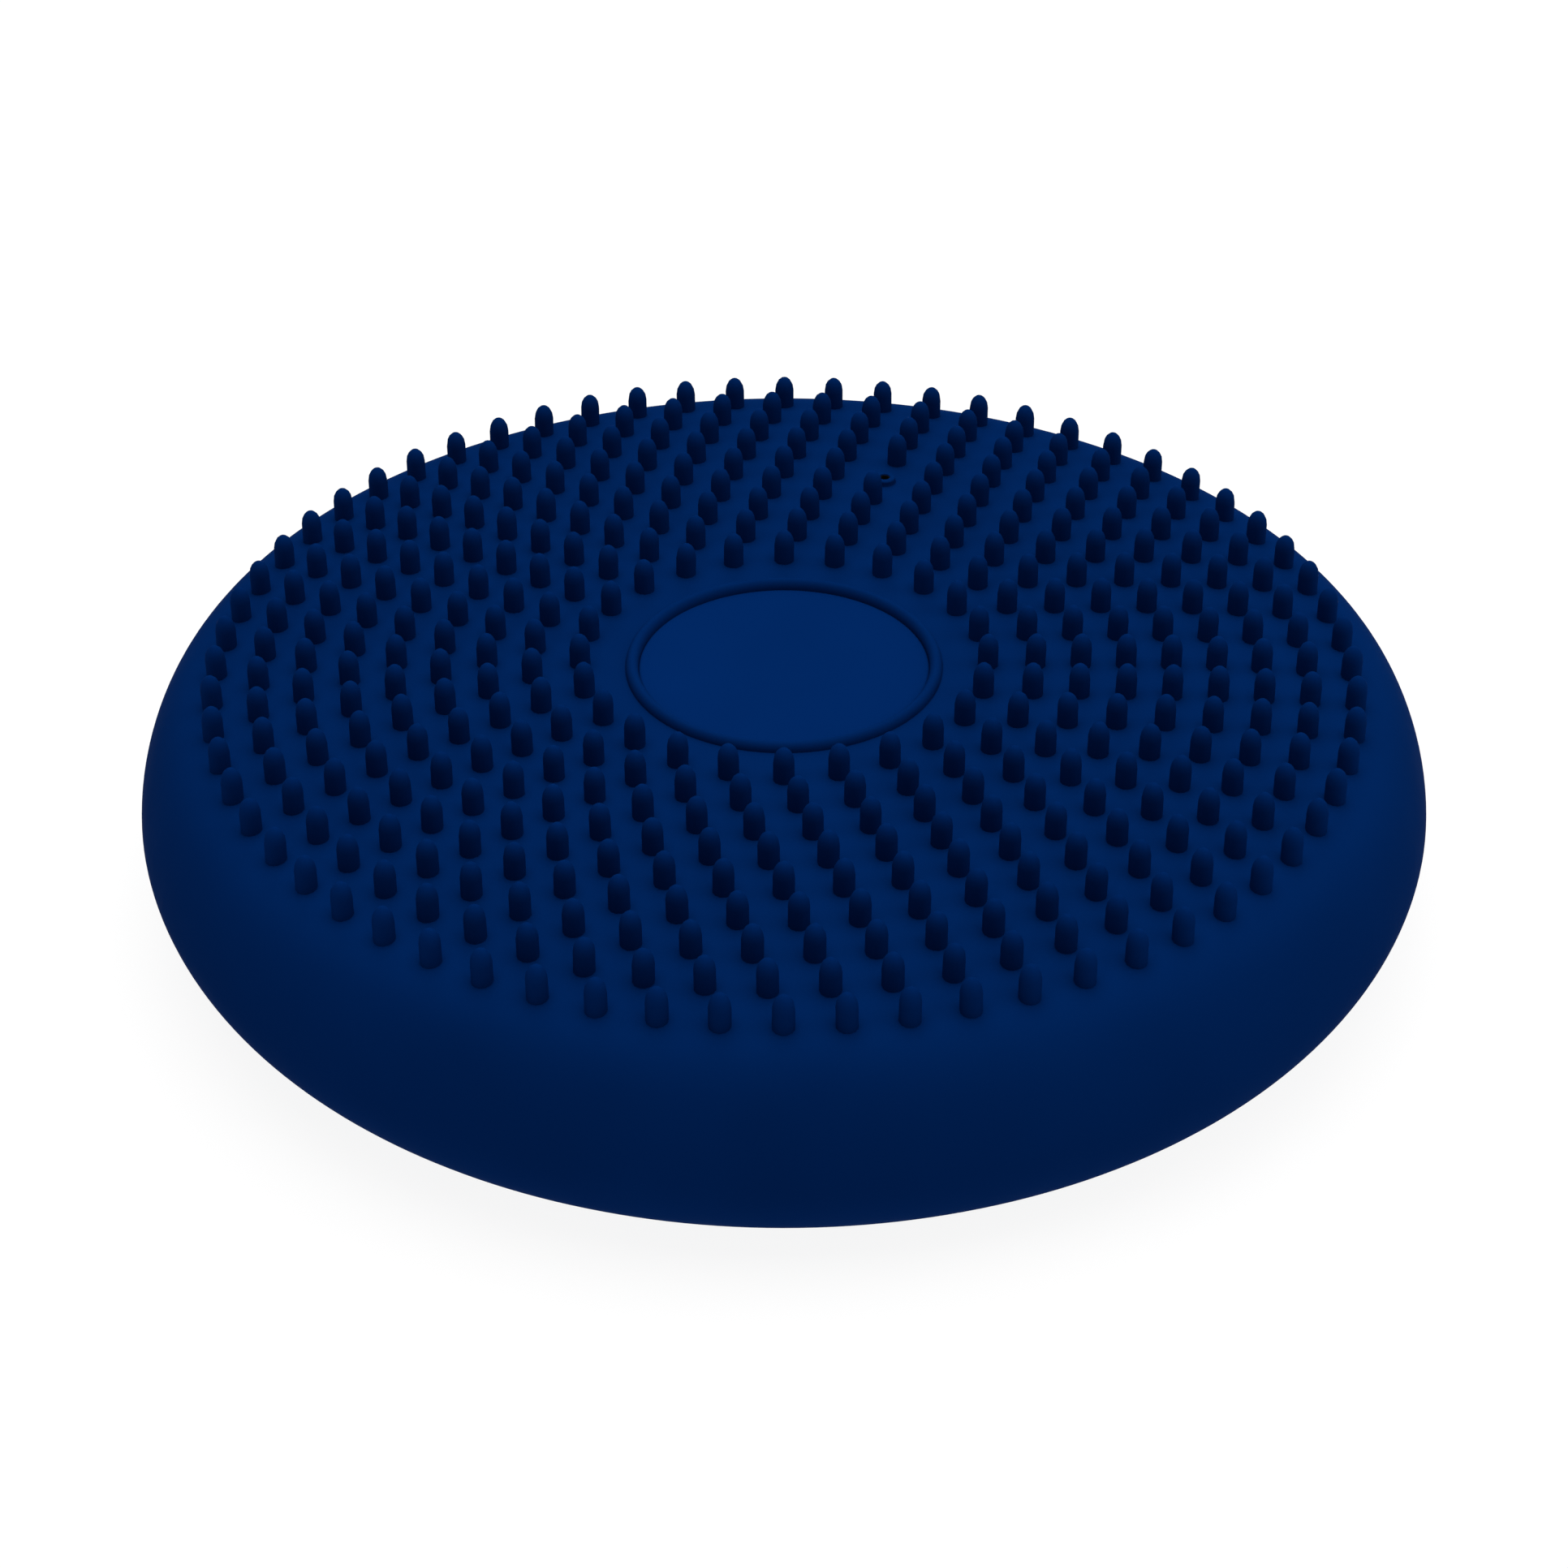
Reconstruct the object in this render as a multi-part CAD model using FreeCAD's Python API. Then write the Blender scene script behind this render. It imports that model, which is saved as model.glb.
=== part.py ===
import FreeCAD, Part
import math
import os

# Wobble cushion: an air-filled balance disc of soft moulded PVC, in millimetres, +Z up.
# The origin is the centre of the flat pad that the cushion rests on. -Y is the front.
# The skin is one moulding, drawn here as the regions that move against each other when a
# foot presses or tips the top: underside, three bands of side wall, and the top with its nubs.

# Skin
overall_radius = 165.0           # at the equator, the widest line of the side wall
equator_height = 28.8
edge_height = 57.8               # top face at the outermost ring of nubs
underside_height = 1.2           # flat of the underside, above the pad it rests on
skin_thickness = 3.0
shoulder_reach = 13.85           # how far the upper side wall curves in from the equator
shoulder_roundness = 1.705       # 2 is an ellipse; less is flatter between its ends
shoulder_drop = 3.76             # from the outermost nubs down to the start of the shoulder
shoulder_run = 10.39             # from the outermost nubs out to the start of the shoulder
shoulder_start = 0.283           # where the shoulder's curve is joined, as a share of its reach
hip_reach = 25.8                 # how far the lower side wall curves in from the equator
hip_roundness = 1.86
crown_dip = 2.81                 # pulls the middle of the crowned top face down
crown_rise = 6.11                # lifts the top face inside the outermost nubs
lower_band_height = 14.5         # the band that folds when the cushion is pressed flat
middle_band_height = 21.0        # the band that folds when it rolls left or right
panel_margin = 4.0               # top panel beyond the centres of the outermost nubs

# Centre of the top face
disc_radius = 37.05
bead_width = 3.35
bead_height = 2.2

# Nubs
nub_radius = 2.6
nub_height = 9.0
nub_tip_height = 4.0             # the rounded end, part of the height
nub_root = 1.0                   # extra length that is trimmed away at the top face
ring_count = 9
first_ring_radius = 51.9
first_ring_gap = 12.1            # from the first ring to the second; the others are evenly spaced
first_ring_nubs = 24
nubs_added_per_ring = 5
ring_start_step = 0.25           # each ring starts this share of a step further round than the last

# Inflation valve: it takes the place of one nub
valve_ring = 5
valve_place = 19                 # counted from 0 round its ring, from the front
valve_inset = 0.4                # nearer the centre than the nubs of its ring
needle_hole_radius = 1.25
collar_radius = 3.0
collar_height = 1.7
housing_radius = 5.0
housing_depth = 12.0             # below the inside of the skin
core_radius = 3.2
core_length = 9.0
core_duct_radius = 0.5
core_duct_depth = 6.0
collar_rim_fillet = 0.5

# Underside
pip_radius = 2.5
pip_gap = 0.2                    # pips stop this far above the floor
pip_ring_count = 7
first_pip_ring_radius = 52.0
pip_ring_pitch = 12.5
first_pip_ring_pips = 20
pips_added_per_ring = 5

# Worked out from the sizes above
shoulder_join_radius = overall_radius - shoulder_reach * (1 - shoulder_start)
field_radius = shoulder_join_radius - shoulder_run
shoulder_join_height = edge_height - shoulder_drop
shoulder_height = (shoulder_join_height - equator_height) / (
    (1 - shoulder_start**shoulder_roundness) ** (1 / shoulder_roundness)
)
hip_radius = overall_radius - hip_reach
hip_height = equator_height - underside_height
second_ring_radius = first_ring_radius + first_ring_gap
ring_pitch = (field_radius - second_ring_radius) / (ring_count - 2)
bead_radius = disc_radius + bead_width
panel_radius = field_radius + panel_margin
lower_band_top = underside_height + lower_band_height
middle_band_top = lower_band_top + middle_band_height
roof = edge_height + crown_rise + nub_height

CENTRE = FreeCAD.Vector(0, 0, 0)
UP = FreeCAD.Vector(0, 0, 1)
FULL_TURN = 360
TINY = 0.01


def section_point(radius, height):
    """A point of the half section, which lies in the plane through the X and Z axes."""
    return FreeCAD.Vector(radius, 0, height)


def crown_surface(radius):
    """Height of the top face at a distance from the centre."""
    q = radius / field_radius
    return edge_height - crown_dip * (1 - q**2) + crown_rise * (1 - q**4)


def hip_point(turn):
    """Lower side wall: turn 0 is the edge of the underside's flat, a quarter turn the equator."""
    power = 2 / hip_roundness
    return section_point(
        hip_radius + hip_reach * math.sin(turn) ** power,
        equator_height - hip_height * math.cos(turn) ** power,
    )


def shoulder_point(share):
    """Upper side wall: share 1 is the equator, shoulder_start its join with the top face."""
    rise = (1 - share**shoulder_roundness) ** (1 / shoulder_roundness)
    return section_point(
        overall_radius - shoulder_reach * (1 - share), equator_height + shoulder_height * rise
    )


def outer_outline():
    """The skin's outer line, from the edge of the underside's flat up and over to the centre."""
    hip_steps, shoulder_steps, crown_steps = 8, 7, 8
    points = [hip_point(math.pi / 2 * n / hip_steps) for n in range(hip_steps + 1)]
    for n in range(1, shoulder_steps + 1):
        turn = math.acos(shoulder_start) * n / shoulder_steps
        points.append(shoulder_point(math.cos(turn)))
    for n in range(crown_steps + 1):
        radius = field_radius * (1 - n / crown_steps)
        points.append(section_point(radius, crown_surface(radius)))
    line = Part.BSplineCurve()
    line.interpolate(points)
    return line


def inner_outline(outer):
    """The skin's inner line, one thickness in from the outer one."""
    steps = 36
    span = outer.LastParameter - outer.FirstParameter
    points = [outer.StartPoint + UP * skin_thickness]
    for n in range(1, steps):
        place = outer.FirstParameter + span * n / steps
        along = outer.tangent(place)[0]
        inward = FreeCAD.Vector(-along.z, 0, along.x)
        points.append(outer.value(place) + inward * skin_thickness)
    points.append(outer.EndPoint - UP * skin_thickness)
    line = Part.BSplineCurve()
    line.interpolate(points)
    return line


def skin_section():
    """Half section of the whole skin."""
    outer = outer_outline()
    inner = inner_outline(outer)
    top_out, top_in = outer.EndPoint, inner.EndPoint
    flat_out, flat_in = outer.StartPoint, inner.StartPoint
    centre_out = section_point(0, underside_height)
    centre_in = section_point(0, underside_height + skin_thickness)
    edges = [
        Part.makeLine(centre_out, flat_out),
        outer.toShape(),
        Part.makeLine(top_out, top_in),
        inner.toShape(),
        Part.makeLine(flat_in, centre_in),
        Part.makeLine(centre_in, centre_out),
    ]
    return Part.Face(Part.Wire(Part.__sortEdges__(edges)))


def turned(section):
    """The solid that a half section sweeps round the Z axis."""
    solid = section.revolve(CENTRE, UP, FULL_TURN)
    return solid.Solids[0] if solid.Solids else solid


def between(section, inner_radius, outer_radius, bottom, top):
    """The part of a half section inside a window of radius and height, turned into a solid.

    A window that reaches the axis runs past it, to a negative radius.
    """
    corners = [(inner_radius, bottom), (outer_radius, bottom), (outer_radius, top), (inner_radius, top)]
    points = [section_point(*corner) for corner in corners]
    window = Part.Face(Part.makePolygon(points + points[:1]))
    return turned(section.common(window).Faces[0])


def on_circle(radius, places, place, ring):
    """One of the evenly spaced places of a numbered ring, counted from the front towards +X."""
    angle = 2 * math.pi * (place + ring_start_step * (ring - 1)) / places
    return FreeCAD.Vector(radius * math.sin(angle), -radius * math.cos(angle), 0)


def nub_ring_radius(ring):
    return first_ring_radius if ring == 1 else second_ring_radius + ring_pitch * (ring - 2)


def nubs_in_ring(ring):
    return first_ring_nubs + nubs_added_per_ring * (ring - 1)


def rounded_line(radius, start_height, rise):
    """Quarter of an ellipse, from a post's side at start_height to its axis, rise higher."""
    line = Part.BezierCurve()
    top = start_height + rise
    line.setPoles([section_point(radius, start_height), section_point(radius, top), section_point(0, top)])
    line.setWeight(2, math.sqrt(1 / 2))
    return line


def nub(radius, panel):
    """One nub on the front line at this radius: a round post with a drawn-out rounded tip."""
    foot = crown_surface(radius)
    tip = rounded_line(nub_radius, foot + nub_height - nub_tip_height, nub_tip_height)
    root = section_point(0, foot - nub_root)
    root_edge = section_point(nub_radius, foot - nub_root)
    edges = [
        Part.makeLine(root, root_edge),
        Part.makeLine(root_edge, tip.StartPoint),
        tip.toShape(),
        Part.makeLine(tip.EndPoint, root),
    ]
    post = turned(Part.Face(Part.Wire(edges)))
    post.translate(FreeCAD.Vector(0, -radius, 0))
    return post.cut(panel).Solids[0]


def nub_ring(ring, panel):
    """One ring of nubs."""
    first = nub(nub_ring_radius(ring), panel)
    count = nubs_in_ring(ring)
    copies = []
    for place in range(count):
        if ring == valve_ring and place == valve_place:
            continue
        copy = first.copy()
        copy.rotate(CENTRE, UP, FULL_TURN * (place + ring_start_step * (ring - 1)) / count)
        copies.append(copy)
    return Part.makeCompound(copies)


def valve_centre():
    """Where the valve's axis meets the floor."""
    radius = nub_ring_radius(valve_ring) - valve_inset
    return on_circle(radius, nubs_in_ring(valve_ring), valve_place, valve_ring)


def valve_levels():
    """Heights along the valve's axis: the collar's rim, the inside of the skin, the cup's end."""
    surface = crown_surface(nub_ring_radius(valve_ring) - valve_inset)
    shelf = surface - skin_thickness
    return surface + collar_height, shelf, shelf - housing_depth


def upright(centre, radius, bottom, top):
    """A round bar standing on a point of the floor plane."""
    return Part.makeCylinder(radius, top - bottom, centre + UP * bottom)


def valve_housing(panel):
    """The moulded-in insert: a raised collar with the needle hole, and a cup below the skin."""
    centre = valve_centre()
    rim, shelf, bottom = valve_levels()
    collar = upright(centre, collar_radius, bottom, rim)
    cup = upright(centre, housing_radius, bottom, shelf)
    body = collar.fuse(cup).removeSplitter()
    rim_edges = [edge for edge in body.Edges if edge.BoundBox.ZMin > rim - TINY]
    body = body.makeFillet(collar_rim_fillet, rim_edges)
    pocket = upright(centre, core_radius, bottom, bottom + core_length)
    needle_hole = upright(centre, needle_hole_radius, bottom, rim)
    return body.cut(pocket).cut(needle_hole).cut(panel).Solids[0]


def valve_core():
    """The soft rubber plug that closes round the needle, with a fine blind duct."""
    centre = valve_centre()
    bottom = valve_levels()[2]
    top = bottom + core_length
    return upright(centre, core_radius, bottom, top).cut(
        upright(centre, core_duct_radius, top - core_duct_depth, top)
    )


def centre_bead():
    """The raised bead round the middle of the top face, with the skin below it."""
    steps = 8
    points = []
    for n in range(steps + 1):
        turn = math.pi * n / steps
        radius = disc_radius + bead_width * (1 + math.cos(turn)) / 2
        points.append(section_point(radius, crown_surface(radius) + bead_height * math.sin(turn)))
    line = Part.BSplineCurve()
    line.interpolate(points)
    below = [point - UP * skin_thickness for point in (points[0], points[-1])]
    edges = [
        line.toShape(),
        Part.makeLine(points[-1], below[1]),
        Part.makeLine(below[1], below[0]),
        Part.makeLine(below[0], points[0]),
    ]
    return turned(Part.Face(Part.Wire(edges)))


def pip_ring(ring):
    """One ring of low flat studs under the flat of the underside."""
    radius = first_pip_ring_radius + pip_ring_pitch * (ring - 1)
    count = first_pip_ring_pips + pips_added_per_ring * (ring - 1)
    pips = []
    for place in range(count):
        centre = on_circle(radius, count, place, ring)
        pips.append(upright(centre, pip_radius, pip_gap, underside_height))
    return Part.makeCompound(pips)


def wall_band(section, bottom, top):
    """A band of the side wall between two heights."""
    return between(section, hip_radius, overall_radius + skin_thickness, bottom, top)


def top_region(section, inner_radius, outer_radius):
    """A ring or disc of the top face between two radii."""
    return between(section, inner_radius, outer_radius, middle_band_top, roof)


def build():
    """Every piece by name."""
    section = skin_section()
    outside = overall_radius + skin_thickness
    panel = top_region(section, bead_radius, panel_radius)
    valve_hole = upright(valve_centre(), collar_radius, middle_band_top, roof)
    pieces = {
        "rest_pad": upright(CENTRE, bead_radius, 0, underside_height),
        "underside_panel": between(section, -hip_radius, hip_radius, 0, lower_band_top),
        "side_wall_lower": wall_band(section, 0, lower_band_top),
        "side_wall_middle": wall_band(section, lower_band_top, middle_band_top),
        "side_wall_upper": top_region(section, panel_radius, outside),
        "top_panel": panel.cut(valve_hole).Solids[0],
        "centre_disc": top_region(section, -disc_radius, disc_radius),
        "centre_bead": centre_bead(),
        "valve_core": valve_core(),
    }
    pieces["valve_housing"] = valve_housing(pieces["top_panel"])
    for ring in range(1, pip_ring_count + 1):
        pieces[f"underside_pip_ring_{ring}"] = pip_ring(ring)
    for ring in range(1, ring_count + 1):
        pieces[f"nub_ring_{ring}"] = nub_ring(ring, panel)
    return pieces


os.makedirs("parts", exist_ok=True)
for name, shape in build().items():
    shape.exportStep(f"parts/{name}.step")
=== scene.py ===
import math

import bmesh
import bpy
from bpy.props import FloatProperty, FloatVectorProperty, IntProperty, PointerProperty
from mathutils import Matrix, Vector


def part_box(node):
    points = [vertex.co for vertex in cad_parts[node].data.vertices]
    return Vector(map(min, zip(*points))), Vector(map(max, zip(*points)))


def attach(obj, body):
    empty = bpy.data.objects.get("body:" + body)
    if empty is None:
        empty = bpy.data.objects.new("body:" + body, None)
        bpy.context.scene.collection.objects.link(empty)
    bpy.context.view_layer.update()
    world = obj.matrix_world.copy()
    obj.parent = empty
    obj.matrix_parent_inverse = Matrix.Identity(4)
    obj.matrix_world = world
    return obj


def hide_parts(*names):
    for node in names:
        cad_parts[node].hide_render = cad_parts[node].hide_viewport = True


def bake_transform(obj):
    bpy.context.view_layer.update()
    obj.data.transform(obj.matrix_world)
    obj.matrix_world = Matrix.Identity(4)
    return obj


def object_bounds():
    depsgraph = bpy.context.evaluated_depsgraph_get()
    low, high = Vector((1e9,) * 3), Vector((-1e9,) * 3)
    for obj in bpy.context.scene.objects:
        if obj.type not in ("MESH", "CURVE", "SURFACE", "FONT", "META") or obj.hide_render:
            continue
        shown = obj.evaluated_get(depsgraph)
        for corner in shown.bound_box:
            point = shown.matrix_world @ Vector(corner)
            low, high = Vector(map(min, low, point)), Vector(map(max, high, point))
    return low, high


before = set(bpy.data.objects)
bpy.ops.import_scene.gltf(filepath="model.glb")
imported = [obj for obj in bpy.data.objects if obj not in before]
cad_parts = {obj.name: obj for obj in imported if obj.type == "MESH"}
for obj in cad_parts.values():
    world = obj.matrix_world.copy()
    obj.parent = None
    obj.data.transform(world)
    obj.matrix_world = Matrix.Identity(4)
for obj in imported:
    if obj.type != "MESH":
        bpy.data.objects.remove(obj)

cad_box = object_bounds()

bl_info = {
    "name": "Wobble cushion",
    "version": (1, 0, 0),
    "blender": (4, 5, 0),
    "location": "3D View > Sidebar > Cushion",
    "description": "Builds the skin, nubs, centre, valve and underside of an air-filled balance disc",
    "category": "Add Mesh",
}

MM = 0.001
SEGMENTS = 256                     # round the whole disc
FINE_SEGMENTS = 40                 # round the valve
SHARP_ANGLE = math.radians(38)
QUARTER = math.pi / 2
CLOUD_SIZE = 38 * MM               # slow changes of tone in the vinyl
SMEAR_SIZE = 11 * MM               # smoother and duller patches of the vinyl
SWELL_SIZE = 6 * MM                # soft unevenness under the vinyl's grain
TOOTH_SIZE = 0.5 * MM              # dusty tooth of the rubber
NUB_SEED = 11                      # of the first ring; each ring has its own
PIP_SEED = 31
STUD_SIDES = 12                    # round a nub or a pip
STUD_ROUNDING = 2 / (1 + math.cos(math.pi / STUD_SIDES))    # keeps a many-sided post as wide as a round one
TIP_TURNS = (26, 48, 67, 81)       # degrees up a nub's rounded end, at each row of its mesh
HOLE_CUTTER = 40 * MM              # length of the tool that cuts the valve's hole
PLACES = 4                         # stretches of the skin's outer line: hip, shoulder, brow and crown


def linear(code):
    """A colour given as an sRGB hex value, turned to the linear values that shaders use."""
    shares = [int(code[n:n + 2], 16) / 255 for n in (1, 3, 5)]
    return [c / 12.92 if c <= 0.04045 else ((c + 0.055) / 1.055) ** 2.4 for c in shares]


def length(name, description, default):
    """A size in metres, as a property."""
    return FloatProperty(name=name, description=description, default=default, unit="LENGTH", precision=5)


def colour(name, description, code):
    """A colour, as a property, from its sRGB hex value."""
    return FloatVectorProperty(
        name=name, description=description, default=linear(code), subtype="COLOR", size=3, min=0, max=1
    )


def half_width(node):
    """How far a round CAD node reaches from the axis."""
    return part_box(node)[1].x


def middle(node):
    """The centre of a CAD node's box."""
    low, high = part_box(node)
    return (low + high) / 2


# ---------------------------------------------------------------- sizes and colours


class SkinShape(bpy.types.PropertyGroup):
    """Outline of the moulded skin, as a half section."""

    radius: length("Radius", "Widest radius, at the equator", half_width("side_wall_middle"))
    equator: length("Equator", "Height of the widest line", 28.8 * MM)
    edge: length("Edge height", "Top face at the outermost nubs", 57.8 * MM)
    floor_gap: length("Underside", "Height of the underside's flat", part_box("side_wall_lower")[0].z)
    thickness: length("Thickness", "Thickness of the skin", 3.0 * MM)
    hip_reach: length("Hip reach", "How far the lower wall curves in", 25.8 * MM)
    hip_roundness: FloatProperty(name="Hip roundness", description="2 is an ellipse", default=1.86)
    shoulder_reach: length("Shoulder reach", "How far the upper wall curves in", 13.85 * MM)
    shoulder_roundness: FloatProperty(
        name="Shoulder roundness", description="2 is an ellipse", default=1.705
    )
    shoulder_start: FloatProperty(
        name="Shoulder start", description="Share of the reach at its join", default=0.283
    )
    shoulder_drop: length("Shoulder drop", "Fall from the outermost nubs to the join", 3.76 * MM)
    shoulder_run: length("Shoulder run", "Distance from the outermost nubs to the join", 10.39 * MM)
    crown_dip: length("Crown dip", "Pulls the middle of the top face down", 2.81 * MM)
    crown_rise: length("Crown rise", "Lifts the top face inside the outermost nubs", 6.11 * MM)
    lower_top: length("Lower band", "Top of the lower band of wall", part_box("side_wall_lower")[1].z)
    middle_top: length("Middle band", "Top of the middle band of wall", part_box("side_wall_middle")[1].z)
    panel_radius: length("Panel radius", "Outer edge of the top panel", half_width("top_panel"))
    panel_margin: length("Panel margin", "Top panel beyond the outermost nubs", 4.0 * MM)


class CentreShape(bpy.types.PropertyGroup):
    """The smooth disc and the bead round it."""

    disc_radius: length("Disc radius", "Radius of the smooth disc", half_width("centre_disc"))
    bead_radius: length("Bead radius", "Outer radius of the bead", half_width("centre_bead"))
    bead_height: length("Bead height", "Height of the bead above the top face", 2.2 * MM)
    groove: length("Groove", "Depth of the rounded groove between disc and bead", 0.8 * MM)


class NubShape(bpy.types.PropertyGroup):
    """The massage nubs and how they are set out."""

    radius: length("Radius", "Radius of a nub's post", 2.6 * MM)
    height: length("Height", "Height of a nub", 9.0 * MM)
    tip: length("Tip", "Height of the rounded end", 4.0 * MM)
    root: length("Root", "How far the foot runs into the skin", 0.5 * MM)
    lean: FloatProperty(
        name="Lean", description="Most that a nub leans", default=math.radians(0.9), unit="ROTATION"
    )
    rings: IntProperty(name="Rings", description="Rings of nubs", default=9, min=1)
    first_ring: length("First ring", "Radius of the innermost ring", 51.9 * MM)
    first_gap: length("First gap", "From the innermost ring to the next", 12.1 * MM)
    first_count: IntProperty(name="First count", description="Nubs in the innermost ring", default=24)
    added: IntProperty(name="Added", description="More nubs in each ring than in the last", default=5)
    valve_ring: IntProperty(name="Valve ring", description="The ring with the valve", default=5)
    valve_place: IntProperty(
        name="Valve place", description="The nub that the valve stands for", default=19
    )


class PipShape(bpy.types.PropertyGroup):
    """The low studs of the underside."""

    radius: length("Radius", "Radius of a pip", 2.5 * MM)
    drop: length("Drop", "How far a pip stands out of the underside", 1.0 * MM)
    rings: IntProperty(name="Rings", description="Rings of pips", default=7, min=1)
    first_ring: length("First ring", "Radius of the innermost ring", 52.0 * MM)
    pitch: length("Pitch", "Distance between rings", 12.5 * MM)
    first_count: IntProperty(name="First count", description="Pips in the innermost ring", default=20)
    added: IntProperty(name="Added", description="More pips in each ring than in the last", default=5)


class ValveShape(bpy.types.PropertyGroup):
    """The valve's collar, cup and rubber core."""

    hole: length("Hole", "Radius of the needle hole", 1.25 * MM)
    sleeve: length("Sleeve", "Thickness of the rubber that lines the needle hole", 0.2 * MM)
    collar: length("Collar", "Radius of the raised collar", 3.0 * MM)
    rim: length("Rim", "Height of the collar's rim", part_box("valve_housing")[1].z)
    cup: length("Cup", "Radius of the cup below the skin", 5.0 * MM)
    cup_bottom: length("Cup bottom", "Height of the cup's open end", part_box("valve_housing")[0].z)
    core: length("Core", "Radius of the rubber core", 3.2 * MM)
    core_top: length("Core top", "Height of the core's top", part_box("valve_core")[1].z)
    duct: length("Duct", "Radius of the core's blind duct", 0.5 * MM)
    duct_depth: length("Duct depth", "Depth of the duct", 6.0 * MM)


class Finish(bpy.types.PropertyGroup):
    """Colours of the moulded vinyl, the rubber and the floor."""

    skin: colour("Skin", "Soft vinyl of the skin", "#011e4d")
    disc: colour("Disc", "Smooth vinyl of the centre", "#012052")
    nub: colour("Nubs", "Soft vinyl of the nubs", "#011d4c")
    sheen: colour("Sheen", "Tint of the vinyl's faint gloss", "#1f78ff")
    rubber: colour("Rubber", "Valve rubber", "#040506")
    floor: colour("Floor", "Studio floor", "#595959")
    floor_glow: FloatProperty(name="Floor glow", description="Light of the floor's own", default=0.90)


class Studio(bpy.types.PropertyGroup):
    """Camera, lights and floor."""

    distance: length("Distance", "Camera from the disc, along the floor", 0.7838)
    side: length("Side", "Camera to the right of the front line", 0.0006)
    height: length("Height", "Camera above the floor", 0.5604)
    aim: length("Aim", "Height that the camera looks at", 0.0245)
    lens: FloatProperty(name="Lens", description="Focal length in mm on a 36 mm sensor", default=83.72)
    floor_size: length("Floor", "Side of the square floor", 8.0)
    key_power: FloatProperty(name="Key power", description="Overhead soft light, in watts", default=54.5)
    back_power: FloatProperty(
        name="Back power", description="Soft light from behind, in watts", default=22.5
    )
    side_power: FloatProperty(
        name="Side power", description="Soft light from the right, in watts", default=15.0
    )
    key_size: length("Key size", "Side of the overhead soft light", 2.4)
    fill_size: length("Fill size", "Side of the two smaller soft lights", 1.5)
    reach: length("Reach", "Distance of the soft lights", 2.2)
    fill_height: length("Fill height", "Height of the two smaller soft lights", 1.5)
    ambient: FloatProperty(name="Ambient", description="Strength of the even light", default=0.34)


# ---------------------------------------------------------------- materials


def add_node(tree, kind, settings=None, **links):
    """Adds a node. Settings are its own.

    Links go to inputs by name or _number, from a socket or as a value.
    """
    node = tree.nodes.new(kind)
    for key, value in (settings or {}).items():
        setattr(node, key, value)
    for key, value in links.items():
        socket = node.inputs[int(key[1:])] if key[0] == "_" else node.inputs[key.replace("_", " ")]
        if isinstance(value, bpy.types.NodeSocket):
            tree.links.new(value, socket)
        else:
            socket.default_value = value
    return node


def new_material(name):
    """A material with only a Principled shader and its output."""
    material = bpy.data.materials.new(name)
    material.use_nodes = True
    tree = material.node_tree
    tree.nodes.clear()
    shader = add_node(tree, "ShaderNodeBsdfPrincipled")
    add_node(tree, "ShaderNodeOutputMaterial", _0=shader.outputs[0])
    return material, tree, shader


def moulded_vinyl(name, base, sheen, grain_mm, grain_depth_mm, roughness):
    """Soft plasticised PVC from a blasted mould: an even, deep colour with a dry, nearly matt face.

    A fine pebble grain breaks up the light, large soft clouds shift the colour a little, and
    faint smears of handling make some places smoother than others.
    """
    material, tree, shader = new_material(name)
    place = add_node(tree, "ShaderNodeTexCoord").outputs["Object"]
    clouds = add_node(
        tree, "ShaderNodeTexNoise", Vector=place, Scale=1 / CLOUD_SIZE, Detail=2.0, Roughness=0.5
    )
    smears = add_node(
        tree, "ShaderNodeTexNoise", Vector=place, Scale=1 / SMEAR_SIZE, Detail=4.0, Roughness=0.6
    )
    deeper = [c * 0.96 for c in base] + [1]
    paler = [c * 1.04 for c in base] + [1]
    tone = add_node(
        tree, "ShaderNodeMapRange", Value=clouds.outputs[0], From_Min=0.3, From_Max=0.7
    )
    mix = add_node(
        tree, "ShaderNodeMix", {"data_type": "RGBA"}, _0=tone.outputs[0], _6=deeper, _7=paler
    )
    tree.links.new(mix.outputs[2], shader.inputs["Base Color"])
    dryness = add_node(
        tree, "ShaderNodeMapRange", Value=smears.outputs[0], From_Min=0.3, From_Max=0.7,
        To_Min=roughness - 0.05, To_Max=roughness + 0.05
    )
    tree.links.new(dryness.outputs[0], shader.inputs["Roughness"])
    grain = add_node(
        tree, "ShaderNodeTexVoronoi", {"feature": "SMOOTH_F1"}, Vector=place, Scale=1 / (grain_mm * MM)
    )
    swell = add_node(tree, "ShaderNodeTexNoise", Vector=place, Scale=1 / SWELL_SIZE, Detail=2.0)
    relief = add_node(
        tree, "ShaderNodeMath", {"operation": "MULTIPLY_ADD"},
        _0=swell.outputs[0], _1=0.6, _2=grain.outputs[0]
    )
    bump = add_node(
        tree, "ShaderNodeBump", Strength=0.55, Distance=grain_depth_mm * MM, Height=relief.outputs[0]
    )
    tree.links.new(bump.outputs[0], shader.inputs["Normal"])
    shader.inputs["IOR"].default_value = 1.53
    shader.inputs["Specular IOR Level"].default_value = 0.0005
    shader.inputs["Specular Tint"].default_value = [*sheen, 1]
    return material


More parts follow.
